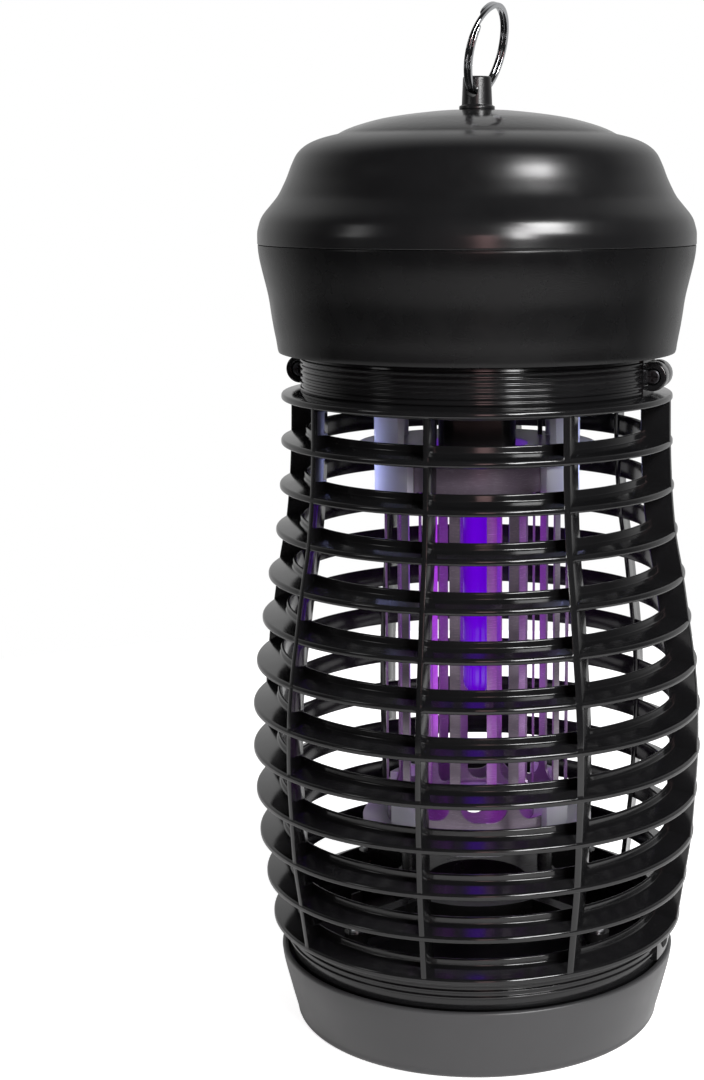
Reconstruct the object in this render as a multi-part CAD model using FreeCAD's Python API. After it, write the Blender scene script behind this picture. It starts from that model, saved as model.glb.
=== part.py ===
import FreeCAD, Part
import math
import os

os.makedirs("parts", exist_ok=True)

V = FreeCAD.Vector

# ---------------------------------------------------------------------------
# Hanging electric insect killer.  Millimetres, +Z up, origin at the centre of
# the underside of the catch tray.  The front looks along -Y.
# ---------------------------------------------------------------------------

# louvre cage: two half mouldings that meet on a vertical parting plane
FIN_PITCH = 16.0
FIN_TOP_Z = 232.0                     # top outer corner of the first louvre
FIN_R = [69.9, 70.2, 71.0, 72.6, 75.6, 78.1, 80.5,
         81.9, 82.2, 81.5, 80.5, 78.3, 76.0]
FIN_EDGE = 2.2                        # height of the outer edge of a louvre
FIN_RISE = 1.3                        # rise of its top face towards the middle
FIN_WIDTH = 10.0                      # radial width with the inner band
FIN_LIP, FIN_WEB = 1.5, 1.8           # width of the outer edge, thickness of the web
BEAD_W, BEAD_TOP, BEAD_BOTTOM = 1.2, 3.9, 3.7   # upright band on the inner edge
RIB_T = 2.0                           # upright ribs
RIB_W = 10.4
RIB_AZ = 38.5                         # rib azimuths either side of the middle
FLANGE_T = 1.8                        # half flange on each side of the parting plane
PARTING_GAP = 0.1                     # half of the gap between the mouldings
DRAW_AZ = -13.8                       # azimuth of the middle of the front half

# collars above and below the louvres
UP_COLLAR_R, UP_COLLAR_IN = 62.6, 59.6
UP_COLLAR_TOP = 249.8
UP_RIDGES = [233.8 + 2.0 * k for k in range(6)]
LOW_COLLAR_R, LOW_COLLAR_IN = 70.5, 68.2
LOW_COLLAR_BOTTOM = 27.0
TONGUE_R, TONGUE_IN, TONGUE_BOTTOM = 68.6, 66.6, 20.0
LOW_RIDGES = [31.3, 33.5, 35.7]

# catch tray: outer profile from the floor to the rim
TRAY_WALL = 2.2
TRAY_OUT = [(64.6, 0.0), (66.2, 0.5), (67.1, 1.4), (67.6, 2.6), (68.2, 4.8),
            (69.5, 9.6), (70.7, 14.4), (71.9, 19.2), (72.8, 23.4), (73.1, 25.9),
            (72.8, 26.7)]

# head: skirt and domed cover
HEAD_WALL = 2.3
SKIRT = [(70.7, 246.4), (71.3, 250.6), (72.1, 254.8), (72.9, 260.0), (73.6, 265.2),
         (74.6, 269.9), (75.7, 274.5), (76.6, 278.6), (77.1, 281.9), (77.2, 283.9)]
DOME = [(77.3, 284.1), (77.3, 288.1), (76.8, 290.2), (76.2, 292.3), (75.1, 294.3),
        (73.4, 296.4), (71.7, 298.4), (70.0, 300.5), (68.8, 302.6), (67.8, 304.6),
        (66.8, 306.7), (66.0, 308.7), (65.2, 310.8), (64.3, 312.8), (63.2, 314.9),
        (61.4, 316.9), (58.4, 318.9), (54.0, 320.6), (48.8, 321.9), (46.6, 323.1),
        (40.9, 325.2), (32.3, 327.4), (20.0, 329.2), (10.0, 330.1), (0.0, 330.3)]
FLOOR_Z, FLOOR_T = 250.0, 2.2

# hanger
POST_R0, POST_R1 = 5.35, 4.9
POST_FLANGE_R = 6.25
POST_TOP = 341.7
EYE_Z, EYE_R = 336.7, 2.25
EYE_AZ = -21.0                        # azimuth that the cross hole points to
RING_R = 15.1                         # mean radius of the split ring
RING_W, RING_H = 2.8, 1.8             # two coils side by side, and their radial height
RING_LEAN = 14.0

# high-voltage grid and lamp
GRID_T = 0.8
OUT_GRID_R, OUT_GRID_AZ, OUT_BAR = 33.2, -13.3, 3.5
IN_GRID_R, IN_GRID_AZ, IN_BAR = 20.8, -21.5, 3.3
GRID_Z0, GRID_Z1 = 74.4, 210.6
SLOT_Z0, SLOT_Z1 = 80.8, 199.3
TUBE_R, TUBE_Y = 5.0, 7.4
TUBE_BOTTOM = 122.0
LAMP_TRAVEL = 24.0


# ---------------------------------------------------------------------------
# helpers
# ---------------------------------------------------------------------------
def polar(r, az, z=0.0):
    a = math.radians(az)
    return V(r * math.sin(a), -r * math.cos(a), z)


def face_rz(pts):
    p = [V(r, 0, z) for r, z in pts]
    return Part.Face(Part.makePolygon(p + [p[0]]))


def lathe(pts):
    return face_rz(pts).revolve(V(0, 0, 0), V(0, 0, 1), 360)


def cyl(r, z0, z1, x=0.0, y=0.0):
    return Part.makeCylinder(r, z1 - z0, V(x, y, z0))


def tube(r0, r1, z0, z1, x=0.0, y=0.0):
    return cyl(r1, z0, z1, x, y).cut(cyl(r0, z0 - 1, z1 + 1, x, y))


def box(x0, x1, y0, y1, z0, z1):
    return Part.makeBox(x1 - x0, y1 - y0, z1 - z0, V(x0, y0, z0))


def turned(shape, az):
    s = shape.copy()
    s.rotate(V(0, 0, 0), V(0, 0, 1), az)
    return s


def arc(r0, r1, z0, z1, az, half):
    """piece of a tube round the axis, centred on an azimuth"""
    s = face_rz([(r0, z0), (r1, z0), (r1, z1), (r0, z1)]).revolve(V(0, 0, 0), V(0, 0, 1), 2 * half)
    return turned(s, az - half - 90)


def fuse(shapes):
    s = shapes[0]
    if len(shapes) > 1:
        s = s.multiFuse(shapes[1:])
    return s.removeSplitter()


def interp(pts, z):
    """radius of a profile given as (r, z) at height z"""
    q = sorted(pts, key=lambda t: t[1])
    if z <= q[0][1]:
        return q[0][0]
    for (r0, z0), (r1, z1) in zip(q, q[1:]):
        if z <= z1:
            return r0 + (r1 - r0) * (z - z0) / (z1 - z0) if z1 > z0 else r1
    return q[-1][0]


def inset(pts, t):
    """profile moved inwards by t along its own normals"""
    out = []
    n = len(pts)
    for i in range(n):
        a = pts[max(i - 1, 0)]
        b = pts[min(i + 1, n - 1)]
        dr, dz = b[0] - a[0], b[1] - a[1]
        l = math.hypot(dr, dz)
        out.append((pts[i][0] - t * dz / l, pts[i][1] + t * dr / l))
    return out


def screw(pos, direction, head_r, head_h, shank_r, length):
    """pan-head screw: pos is under the head, direction points out of the head"""
    head = Part.makeCylinder(head_r, head_h, V(0, 0, 0))
    edges = [e for e in head.Edges if e.Curve.TypeId == "Part::GeomCircle"
             and abs(e.Curve.Center.z - head_h) < 1e-6]
    head = head.makeFillet(head_h * 0.45, edges)
    w, l = head_r * 0.24, head_r * 1.15
    d = head_h * 0.6
    cross = Part.makeBox(w, l, d + 1, V(-w / 2, -l / 2, head_h - d)).fuse(
        Part.makeBox(l, w, d + 1, V(-l / 2, -w / 2, head_h - d)))
    s = head.cut(cross).fuse(Part.makeCylinder(shank_r, length, V(0, 0, -length)))
    tip = Part.makeCone(shank_r * 0.3, shank_r, shank_r * 1.2, V(0, 0, -length - shank_r * 1.2))
    s = s.fuse(tip).removeSplitter()
    s.Placement = FreeCAD.Placement(pos, FreeCAD.Rotation(V(0, 0, 1), direction))
    return s


def save(name, shapes):
    if isinstance(shapes, (list, tuple)):
        shape = Part.makeCompound(list(shapes)) if len(shapes) > 1 else shapes[0]
    else:
        shape = shapes
    solids = shape.Solids
    shape = Part.makeCompound(solids) if len(solids) > 1 else solids[0]
    if not shape.isValid():
        print("INVALID", name)
    b = shape.BoundBox
    print("%-18s solids %2d  volume %9.1f mm3  box %.1f..%.1f %.1f..%.1f %.1f..%.1f" % (
        name, len(solids), shape.Volume, b.XMin, b.XMax, b.YMin, b.YMax, b.ZMin, b.ZMax))
    shape.exportStep("parts/%s.step" % name)


# ---------------------------------------------------------------------------
# cage halves, modelled with the draw direction on Y and turned at the end
# ---------------------------------------------------------------------------
fin_z = [FIN_TOP_Z - FIN_PITCH * i for i in range(13)]
barrel = list(zip(FIN_R, fin_z))
barrel_up = [(FIN_R[0], FIN_TOP_Z)] + barrel


def barrel_r(z):
    return interp(barrel, z)


def louvre(i):
    r, z = FIN_R[i], fin_z[i]
    q = r - FIN_WIDTH + BEAD_W
    slope = FIN_RISE / (FIN_WIDTH - BEAD_W)
    return lathe([(r, z), (q, z + FIN_RISE), (q, z + BEAD_TOP), (r - FIN_WIDTH, z + BEAD_TOP),
                  (r - FIN_WIDTH, z - BEAD_BOTTOM), (q, z - BEAD_BOTTOM), (q, z + FIN_RISE - FIN_WEB),
                  (r - FIN_LIP, z + FIN_LIP * slope - FIN_WEB), (r - FIN_LIP, z - FIN_EDGE), (r, z - FIN_EDGE)])


def upper_collar():
    out = [(UP_COLLAR_IN, 230.6), (UP_COLLAR_R, 230.6)]
    for z in UP_RIDGES:
        out += [(UP_COLLAR_R, z - 0.5), (UP_COLLAR_R + 0.6, z - 0.3),
                (UP_COLLAR_R + 0.6, z + 0.3), (UP_COLLAR_R, z + 0.5)]
    out += [(UP_COLLAR_R, UP_COLLAR_TOP), (UP_COLLAR_IN, UP_COLLAR_TOP)]
    return lathe(out)


def lower_collar():
    out = [(LOW_COLLAR_IN, 38.6), (LOW_COLLAR_IN, 30.0), (TONGUE_IN, 28.6),
           (TONGUE_IN, TONGUE_BOTTOM), (TONGUE_R, TONGUE_BOTTOM),
           (TONGUE_R, LOW_COLLAR_BOTTOM), (LOW_COLLAR_R, LOW_COLLAR_BOTTOM)]
    for z in LOW_RIDGES:
        out += [(LOW_COLLAR_R, z - 0.5), (LOW_COLLAR_R + 0.7, z - 0.3),
                (LOW_COLLAR_R + 0.7, z + 0.3), (LOW_COLLAR_R, z + 0.5)]
    out += [(LOW_COLLAR_R, 38.6)]
    return lathe(out)


shell_out = [(barrel_r(z), z) for z in fin_z]
shell_out[-1] = (shell_out[-1][0], 38.2)
shell = lathe([(r, z) for r, z in shell_out] + [(r - RIB_W, z) for r, z in reversed(shell_out)])


def rib(az, sign):
    """upright plate parallel to the draw direction that follows the barrel"""
    s = math.sin(math.radians(az))
    zs = [z for r, z in shell_out]
    left = [V(barrel_r(z) * s - RIB_T / 2, 0, z) for z in zs]
    right = [V(barrel_r(z) * s + RIB_T / 2, 0, z) for z in reversed(zs)]
    f = Part.Face(Part.makePolygon(left + right + [left[0]]))
    plate = f.extrude(V(0, 90.0 * sign, 0))
    return plate.common(shell)


ribs = []
for sign in (-1, 1):
    for az in (0.0, RIB_AZ, -RIB_AZ):
        ribs.append(rib(az, sign))
slab = box(-95, 95, -FLANGE_T - PARTING_GAP, FLANGE_T + PARTING_GAP, 30, 240)
flanges = [s for s in shell.common(slab).Solids]

# screw bosses at the parting plane, their axes along the draw direction
UP_BOSS = (64.4, 239.0, 5.0)
LOW_BOSS = (68.6, 33.8, 4.6)
bosses, boss_holes = [], []
for sx in (-1, 1):
    for x, z, r in (UP_BOSS, LOW_BOSS):
        bosses.append(Part.makeCylinder(r, 16.0, V(sx * x, -8.0, z), V(0, 1, 0)))
        boss_holes.append(Part.makeCylinder(1.45, 40.0, V(sx * x, -20.0, z), V(0, 1, 0)))
        boss_holes.append(Part.makeCylinder(3.0, 8.0, V(sx * x, -6.0, z), V(0, -1, 0)))
# plain pads beside the parting plane on both collars
up_pad = tube(60.0, 63.4, 232.5, 247.0).common(
    box(-80, 80, -13.0, 13.0, 230, 249))
low_pad = tube(68.4, 72.2, 28.2, 38.2).common(box(-90, 90, -13.0, 13.0, 20, 40))

# bosses for the screws from the head floor, and for the spider below
COLLAR_BOSS_R, SPIDER_BOSS_R = 56.6, 60.4
ARM_AZ = (45, -45, 135, -135)         # arms of the spider, whatever the draw direction
inner_bosses, inner_holes = [], []
for az in (45, -45, 135, -135):
    p = polar(COLLAR_BOSS_R, az)
    inner_bosses.append(cyl(4.0, 236.0, UP_COLLAR_TOP, p.x, p.y))
    inner_holes.append(cyl(1.45, 239.0, UP_COLLAR_TOP + 1, p.x, p.y))
    p = polar(SPIDER_BOSS_R, az - DRAW_AZ)
    inner_bosses.append(cyl(4.0, 29.5, 41.0, p.x, p.y))
    web = box(-2.0, 2.0, -69.0, -SPIDER_BOSS_R, 30.2, 38.4)
    inner_bosses.append(turned(web, az - DRAW_AZ))
    inner_holes.append(cyl(1.45, 31.0, 42.0, p.x, p.y))
# open notches in the tongue for the keys of the tray
notches = [turned(box(-3.4, 3.4, -80, -60, 10, 25.2), az) for az in (0, 120, -120)]
notches = [n.common(tube(60, 69.6, 10, 26)) for n in notches]

solid = [louvre(i) for i in range(13)] + [upper_collar(), lower_collar()]
solid += ribs + flanges + bosses + [up_pad, low_pad] + inner_bosses
whole = solid[0].multiFuse(solid[1:])
whole = whole.cut(Part.makeCompound(boss_holes))
whole = whole.cut(Part.makeCompound(inner_holes))
whole = whole.cut(Part.makeCompound(notches))
front = whole.common(box(-100, 100, -100, -PARTING_GAP, 0, 260)).removeSplitter()
rear = whole.common(box(-100, 100, PARTING_GAP, 100, 0, 260)).removeSplitter()
save("front_cage", turned(front, DRAW_AZ))
save("rear_cage", turned(rear, DRAW_AZ))

cage_screws = []
for sx in (-1, 1):
    for x, z, r in (UP_BOSS, LOW_BOSS):
        cage_screws.append(turned(screw(V(sx * x, -6.0, z), V(0, -1, 0), 2.8, 1.8, 1.4, 11.0), DRAW_AZ))
save("cage_screws", cage_screws)

collar_screws = []
for az in (45, -45, 135, -135):
    p = polar(COLLAR_BOSS_R, az + DRAW_AZ, FLOOR_Z + FLOOR_T)
    collar_screws.append(screw(p, V(0, 0, 1), 2.8, 2.0, 1.4, 9.5))
save("collar_screws", collar_screws)

# ---------------------------------------------------------------------------
# catch tray with three keys inside its rim
# ---------------------------------------------------------------------------
tray_in = [(r - TRAY_WALL, z) for r, z in TRAY_OUT if z > 3.0]
tray_profile = [(0, 0)] + TRAY_OUT + [(TRAY_OUT[-1][0] - 1.5, 26.7)]
tray_profile += list(reversed([q for q in tray_in if q[1] < 26.0]))
tray_profile += [(64.6, 2.9), (63.4, 2.2), (0, 2.2)]
tray = lathe(tray_profile)
keys = []
for az in (0, 120, -120):
    k = box(-2.8, 2.8, -72.0, -66.4, 9.0, 24.6).common(lathe([(0, 1)] + TRAY_OUT[1:] + [(0, 26.7)]))
    keys.append(turned(k, az + DRAW_AZ))
tray = fuse([tray] + keys)
save("catch_tray", tray)

# ---------------------------------------------------------------------------
# head: skirt with floor, cover, cord gland
# ---------------------------------------------------------------------------
skirt_in = inset(SKIRT, HEAD_WALL)
skirt = lathe(SKIRT + [(skirt_in[-1][0], SKIRT[-1][1])] +
              list(reversed(skirt_in[1:-1])) + [(SKIRT[0][0] - HEAD_WALL, SKIRT[0][1])])
floor = cyl(interp(SKIRT, FLOOR_Z) - 1.0, FLOOR_Z, FLOOR_Z + FLOOR_T)

COVER_SCREW_R = 65.9
BOARD = (-42.0, 42.0, 12.0, 52.0)
BOARD_Z, BOARD_T = 264.0, 1.6
board_pts = [(-37.0, 17.0), (37.0, 17.0), (-37.0, 47.0), (37.0, 47.0)]
TERMINAL = (-16.0, 14.0)
posts_b = [cyl(3.2, FLOOR_Z + 1, BOARD_Z, x, y) for x, y in board_pts]
skirt = fuse([skirt, floor] + posts_b)
holes = [cyl(1.2, FLOOR_Z + 4, BOARD_Z + 2, x, y) for x, y in board_pts]
holes.append(cyl(6.0, FLOOR_Z - 1, FLOOR_Z + 4))               # socket wiring
for az in (45, -45, 135, -135):
    p = polar(COVER_SCREW_R, az)
    holes.append(cyl(1.5, FLOOR_Z - 1, FLOOR_Z + 4, p.x, p.y))
    p = polar(COLLAR_BOSS_R, az + DRAW_AZ)
    holes.append(cyl(1.5, FLOOR_Z - 1, FLOOR_Z + 4, p.x, p.y))
SOCKET_SCREW = [(-10.0, 16.5), (10.0, -16.5)]
for x, y in SOCKET_SCREW:
    holes.append(cyl(1.5, FLOOR_Z - 1, FLOOR_Z + 4, x, y))
LEG_AZ = [90.0, -90.0]
LEG_R = 35.5
for az in LEG_AZ:
    p = polar(LEG_R, az)
    holes.append(cyl(1.5, FLOOR_Z - 1, FLOOR_Z + 4, p.x, p.y))
LEAD_OUT, LEAD_IN = (23.48, 23.48), (-15.6, 13.76)
LEAD_R = 0.9
for x, y in (LEAD_OUT, LEAD_IN):
    holes.append(cyl(1.6, FLOOR_Z - 1, FLOOR_Z + 4, x, y))
GLAND_Z, GLAND_R, GLAND_BORE = 263.0, 5.4, 3.4
gland_wall = interp(SKIRT, GLAND_Z)
holes.append(Part.makeCylinder(GLAND_R, 12.0, V(0, gland_wall - 8.0, GLAND_Z), V(0, 1, 0)))
skirt = skirt.cut(Part.makeCompound(holes)).removeSplitter()
save("head_skirt", skirt)

# grommet in the back wall of the skirt, its bore along Y; both flanges follow the curved wall
g0, g1 = gland_wall - HEAD_WALL - 2.4, gland_wall + 1.6
gland = Part.makeCylinder(GLAND_R - 0.05, g1 - g0, V(0, g0, GLAND_Z), V(0, 1, 0))
gland = gland.fuse([Part.makeCylinder(6.8, 2.6, V(0, g0, GLAND_Z), V(0, 1, 0)),
                    Part.makeCone(7.0, 6.4, 2.6, V(0, gland_wall - 1.0, GLAND_Z), V(0, 1, 0))])
gland = gland.cut(Part.makeCylinder(GLAND_BORE, 30.0, V(0, g0 - 5, GLAND_Z), V(0, 1, 0)))
gland = gland.cut(skirt)
save("cord_gland", gland)

dome_in = inset(DOME, HEAD_WALL)
dome_in = [q for q in dome_in if q[0] > 0.5]
cover = lathe(DOME + [(0, DOME[-1][1] - HEAD_WALL)] + list(reversed(dome_in[1:])) +
              [(DOME[0][0] - HEAD_WALL, DOME[0][1])])
lip = fuse([tube(72.3, 74.2, 280.6, 286.4), tube(72.3, 75.8, 284.1, 286.4)])
envelope = lathe([(0, 250)] + [(77.3, 250)] + DOME[:-1] + [(0, DOME[-1][1])])
pillars, pillar_holes = [], []
for az in (45, -45, 135, -135):
    p = polar(COVER_SCREW_R, az)
    pillars.append(cyl(3.1, FLOOR_Z + FLOOR_T, 309.0, p.x, p.y).common(envelope))
    pillar_holes.append(cyl(1.45, FLOOR_Z, 268.0, p.x, p.y))
hub = tube(3.2, 9.0, 324.0, 329.0)
cover = fuse([cover, lip, hub] + pillars)
cover = cover.cut(Part.makeCompound(pillar_holes + [cyl(3.2, 320, 335)])).removeSplitter()
save("head_cover", cover)

cover_screws = []
for az in (45, -45, 135, -135):
    cover_screws.append(screw(polar(COVER_SCREW_R, az, FLOOR_Z), V(0, 0, -1), 2.6, 1.8, 1.4, 14.0))
save("cover_screws", cover_screws)

# ---------------------------------------------------------------------------
# hanger: post with a cross hole, washer, nut, split ring
# ---------------------------------------------------------------------------
top = DOME[-1][1]
post = lathe([(0, 316.0), (2.6, 316.0), (3.0, 316.5), (3.0, top), (POST_FLANGE_R - 0.5, top),
              (POST_FLANGE_R, top + 0.3), (POST_FLANGE_R, top + 0.9), (POST_FLANGE_R - 0.3, top + 1.2),
              (POST_R0, top + 1.4), (POST_R1, POST_TOP - 0.9), (POST_R1 - 0.9, POST_TOP), (0, POST_TOP)])
eye_dir = polar(1.0, EYE_AZ)
eye = Part.makeCylinder(EYE_R, 30.0, V(0, 0, EYE_Z) - eye_dir * 15.0, eye_dir)
post = post.cut(eye)
save("hanger_post", post)
save("hanger_washer", tube(3.1, 6.5, 322.8, 324.0))
nut = Part.Face(Part.makePolygon([polar(5.8, 60 * k, 318.2) for k in range(7)])).extrude(V(0, 0, 4.6))
save("hanger_nut", nut.cut(cyl(3.0, 310, 330)))

# ring: two flat coils side by side; its plane holds the axis of the cross hole
lean = math.radians(RING_LEAN)
side = V(-eye_dir.y, eye_dir.x, 0)          # to the right of the eye direction seen from the front
up = V(0, 0, 1) * math.cos(lean) + side * math.sin(lean)
normal = eye_dir.cross(up)
centre = V(0, 0, EYE_Z) + up * (RING_R - 0.45)
coils = []
for k in (-1, 1):
    off = k * RING_W / 4.0
    c = Part.makeCylinder(RING_R + RING_H / 2, RING_W / 2 - 0.06, V(0, 0, off - RING_W / 4 + 0.03)).cut(
        Part.makeCylinder(RING_R - RING_H / 2, RING_W, V(0, 0, off - RING_W / 2)))
    coils.append(c)
# the crossover that joins the coils, on the far side of the ring from the post
joint = box(-2.0, 2.0, RING_R - RING_H / 2 + 0.05, RING_R + RING_H / 2 - 0.12, -0.2, 0.2)
ring = fuse(coils + [joint])
m = FreeCAD.Matrix(eye_dir.x, up.x, normal.x, centre.x,
                   eye_dir.y, up.y, normal.y, centre.y,
                   eye_dir.z, up.z, normal.z, centre.z, 0, 0, 0, 1)
ring.Placement = FreeCAD.Placement(m)
save("hanging_ring", ring)

# ---------------------------------------------------------------------------
# electronics in the head
# ---------------------------------------------------------------------------
pcb = box(BOARD[0], BOARD[1], BOARD[2], BOARD[3], BOARD_Z, BOARD_Z + BOARD_T)
corner = [e for e in pcb.Edges if abs(e.Vertexes[0].Z - e.Vertexes[1].Z) > 1]
pcb = pcb.makeFillet(3.0, corner)
pcb_holes = [cyl(1.4, BOARD_Z - 1, BOARD_Z + 4, x, y) for x, y in board_pts]
pcb_holes += [cyl(1.0, BOARD_Z - 1, BOARD_Z + 4, x, y) for x, y in (LEAD_OUT, LEAD_IN)]
save("circuit_board", pcb.cut(Part.makeCompound(pcb_holes)))
save("board_screws", [screw(V(x, y, BOARD_Z + BOARD_T), V(0, 0, 1), 2.4, 1.6, 1.15, 6.0) for x, y in board_pts])
bt = BOARD_Z + BOARD_T
caps = []
for x, y in ((-26.0, 22.0), (-26.0, 32.0), (-26.0, 42.0)):
    c = box(x - 8, x + 8, y - 3.5, y + 3.5, bt, bt + 12)
    caps.append(c.makeFillet(0.8, c.Edges))
save("capacitors", caps)
diodes = []
for k in range(4):
    y = 22.0 + 7.0 * k
    body = Part.makeCylinder(1.5, 6.0, V(-4.0, y, bt + 2.2), V(1, 0, 0))
    lead = Part.makeCylinder(0.4, 12.0, V(-7.0, y, bt + 2.2), V(1, 0, 0))
    legs = [cyl(0.4, bt, bt + 2.5, x, y) for x in (-6.6, 4.6)]
    diodes.append(fuse([body, lead] + legs))
save("diodes", diodes)
save("fuse", Part.makeCylinder(2.6, 20.0, V(14.0, 40.0, bt + 5.2), V(1, 0, 0)))
clips = []
for x in (16.0, 32.0):
    c = box(x - 2.0, x + 2.0, 36.6, 43.4, bt, bt + 7.6).cut(
        Part.makeCylinder(2.6, 8.0, V(x - 4, 40.0, bt + 5.2), V(1, 0, 0))).cut(
        box(x - 3, x + 3, 38.4, 41.6, bt + 5.2, bt + 9))
    clips.append(c)
save("fuse_clips", clips)
term = box(6.5, 20.5, 17.0, 27.0, bt, bt + 10.0)
term = term.cut(Part.makeCompound([cyl(2.0, bt + 4, bt + 12, x, 22.0) for x in (10.2, 16.8)]))
save("supply_terminal", term)
# choke for the lamp: laminated core round a wound bobbin
core = box(-20.0, 20.0, -56.0, -26.0, 252.2, 284.2)
core = core.cut(box(-13.0, -6.0, -60.0, -20.0, 259.0, 277.4)).cut(box(6.0, 13.0, -60.0, -20.0, 259.0, 277.4))
save("ballast_core", core)
coil = box(-12.8, 12.8, -60.4, -21.6, 259.2, 277.2)
coil = coil.makeFillet(3.0, [e for e in coil.Edges if abs(e.Vertexes[0].Z - e.Vertexes[1].Z) > 5])
coil = coil.cut(box(-6.1, 6.1, -56.1, -25.9, 250, 290))
save("ballast_coil", coil)

# ---------------------------------------------------------------------------
# lamp socket under the floor, lamp, grid and insulators
# ---------------------------------------------------------------------------
SOCKET_Z = 213.7
socket = box(-13.6, 13.6, -22, 22, SOCKET_Z, FLOOR_Z)
upright = [e for e in socket.Edges if abs(e.Vertexes[0].Z - e.Vertexes[1].Z) > 5]
socket = socket.makeFillet(5.5, upright)
socket = socket.cut(box(-8.0, 8.0, -18.0, 18.0, SOCKET_Z - 1, 224.0))
socket = socket.cut(box(-6.2, 6.2, -11.6, 11.6, SOCKET_Z - 1, 247.0))
for sy in (-1, 1):
    socket = socket.cut(box(-1.7, 2.5, sy * 14.2 - 1.8, sy * 14.2 + 1.8, SOCKET_Z - 1, 249.0))
socket = socket.cut(Part.makeCompound([cyl(1.4, 240.0, 251.0, x, y) for x, y in SOCKET_SCREW]))
save("lamp_socket", socket)
save("socket_contacts", [box(1.5, 2.4, sy * 14.2 - 1.4, sy * 14.2 + 1.4, 228.0, 248.6) for sy in (-1, 1)])
save("socket_screws", [screw(V(x, y, FLOOR_Z + FLOOR_T), V(0, 0, 1), 2.6, 1.8, 1.35, 9.0) for x, y in SOCKET_SCREW])

BASE_Z0, BASE_Z1 = 213.0, 223.6
lamp_base = box(-7.4, 7.4, -17.4, 17.4, BASE_Z0, BASE_Z1)
lamp_base = lamp_base.makeFillet(5.0, [e for e in lamp_base.Edges if abs(e.Vertexes[0].Z - e.Vertexes[1].Z) > 5])
lamp_base = lamp_base.fuse(box(-5.6, 5.6, -10.8, 10.8, BASE_Z1 - 1, 245.0)).removeSplitter()
for sy in (-1, 1):
    lamp_base = lamp_base.cut(cyl(TUBE_R + 0.05, 200.0, 218.0, 0, sy * TUBE_Y))
    lamp_base = lamp_base.cut(cyl(1.15, BASE_Z1 - 4.0, BASE_Z1 + 2, 0, sy * 14.2))
save("lamp_base", lamp_base)
save("lamp_pins", [cyl(1.15, BASE_Z1 - 4.0, 242.0, 0, sy * 14.2) for sy in (-1, 1)])
limbs = []
for sy in (-1, 1):
    limbs.append(cyl(TUBE_R, TUBE_BOTTOM + TUBE_R, 218.0, 0, sy * TUBE_Y))
    limbs.append(Part.makeSphere(TUBE_R, V(0, sy * TUBE_Y, TUBE_BOTTOM + TUBE_R)))
limbs.append(Part.makeCylinder(2.6, 2 * TUBE_Y, V(0, -TUBE_Y, TUBE_BOTTOM + 9.0), V(0, 1, 0)))
save("lamp_tubes", fuse(limbs))


def grid(radius, az0, bar, z0, z1, s0, s1, corner_r):
    t = tube(radius - GRID_T / 2, radius + GRID_T / 2, z0, z1)
    w = 2 * radius * math.sin(math.pi / 10) - bar
    cuts = []
    for k in range(10):
        b = box(-w / 2, w / 2, -radius - 6, -radius + 6, s0, s1)
        e = [q for q in b.Edges if abs(q.Vertexes[0].Y - q.Vertexes[1].Y) > 5]
        cuts.append(turned(b.makeFillet(corner_r, e), az0 + 18.0 + 36.0 * k))
    return t.cut(Part.makeCompound(cuts)).removeSplitter()


save("outer_grid", grid(OUT_GRID_R, OUT_GRID_AZ, OUT_BAR, GRID_Z0, GRID_Z1, SLOT_Z0, SLOT_Z1, 6.0))
save("inner_grid", grid(IN_GRID_R, IN_GRID_AZ, IN_BAR, GRID_Z0, GRID_Z1, SLOT_Z0, SLOT_Z1, 4.5))

# insulators: a disc that seats both grids and centres the inner one, and curved clasps
# round the outer one; the upper disc hangs from the floor on two curved legs
INS_HOLE, DISC_R, DISC_T = 18.3, 43.0, 2.5
CLASP_IN, CLASP_OUT = OUT_GRID_R + GRID_T / 2 + 0.15, 37.0
seat = IN_GRID_R - GRID_T / 2 - 0.1
up0 = GRID_Z1 + 0.1
up_ins = [tube(INS_HOLE, DISC_R, up0, up0 + DISC_T), tube(INS_HOLE, seat, up0 - 5.6, up0 + 0.5)]
for az in LEG_AZ:
    up_ins.append(arc(CLASP_IN, CLASP_OUT, 195.0, up0 + 0.5, az, 49.0))
    up_ins.append(arc(CLASP_OUT - 2.8, CLASP_OUT, up0 + 1.0, FLOOR_Z, az, 42.0))
    p = polar(LEG_R, az)
    up_ins.append(cyl(4.2, 237.0, FLOOR_Z, p.x, p.y))
up_ins = fuse(up_ins)
up_ins = up_ins.cut(Part.makeCompound([cyl(1.4, 239.0, 251.0, polar(LEG_R, az).x, polar(LEG_R, az).y) for az in LEG_AZ]))
up_ins = up_ins.cut(Part.makeCompound([cyl(1.2, 200.0, 230.0, x, y) for x, y in (LEAD_OUT, LEAD_IN)]))
save("upper_insulator", up_ins.removeSplitter())
POST_X, POST_R, POST_Z1 = 25.3, 2.8, 65.0
low1 = GRID_Z0 - 0.1
low_ins = [tube(INS_HOLE, DISC_R - 0.5, low1 - DISC_T, low1), tube(INS_HOLE, seat, low1 - 0.5, low1 + 5.2)]
for az in (-48, 54, 132, -126):
    low_ins.append(arc(CLASP_IN, CLASP_OUT - 0.5, low1 - 0.5, 85.0, az, 10.5))
low_ins += [cyl(4.0, POST_Z1, low1 - 1.0, sx * POST_X, 0) for sx in (-1, 1)]
low_ins = fuse(low_ins)
low_ins = low_ins.cut(Part.makeCompound([cyl(1.4, 60.0, 70.5, sx * POST_X, 0) for sx in (-1, 1)]))
save("lower_insulator", low_ins.removeSplitter())
save("insulator_screws", [screw(polar(LEG_R, az, FLOOR_Z + FLOOR_T), V(0, 0, 1), 2.6, 1.8, 1.35, 9.0) for az in LEG_AZ])
save("grid_leads", [cyl(LEAD_R, GRID_Z1 + 0.05, BOARD_Z + BOARD_T + 0.6, x, y) for x, y in (LEAD_OUT, LEAD_IN)])

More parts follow.
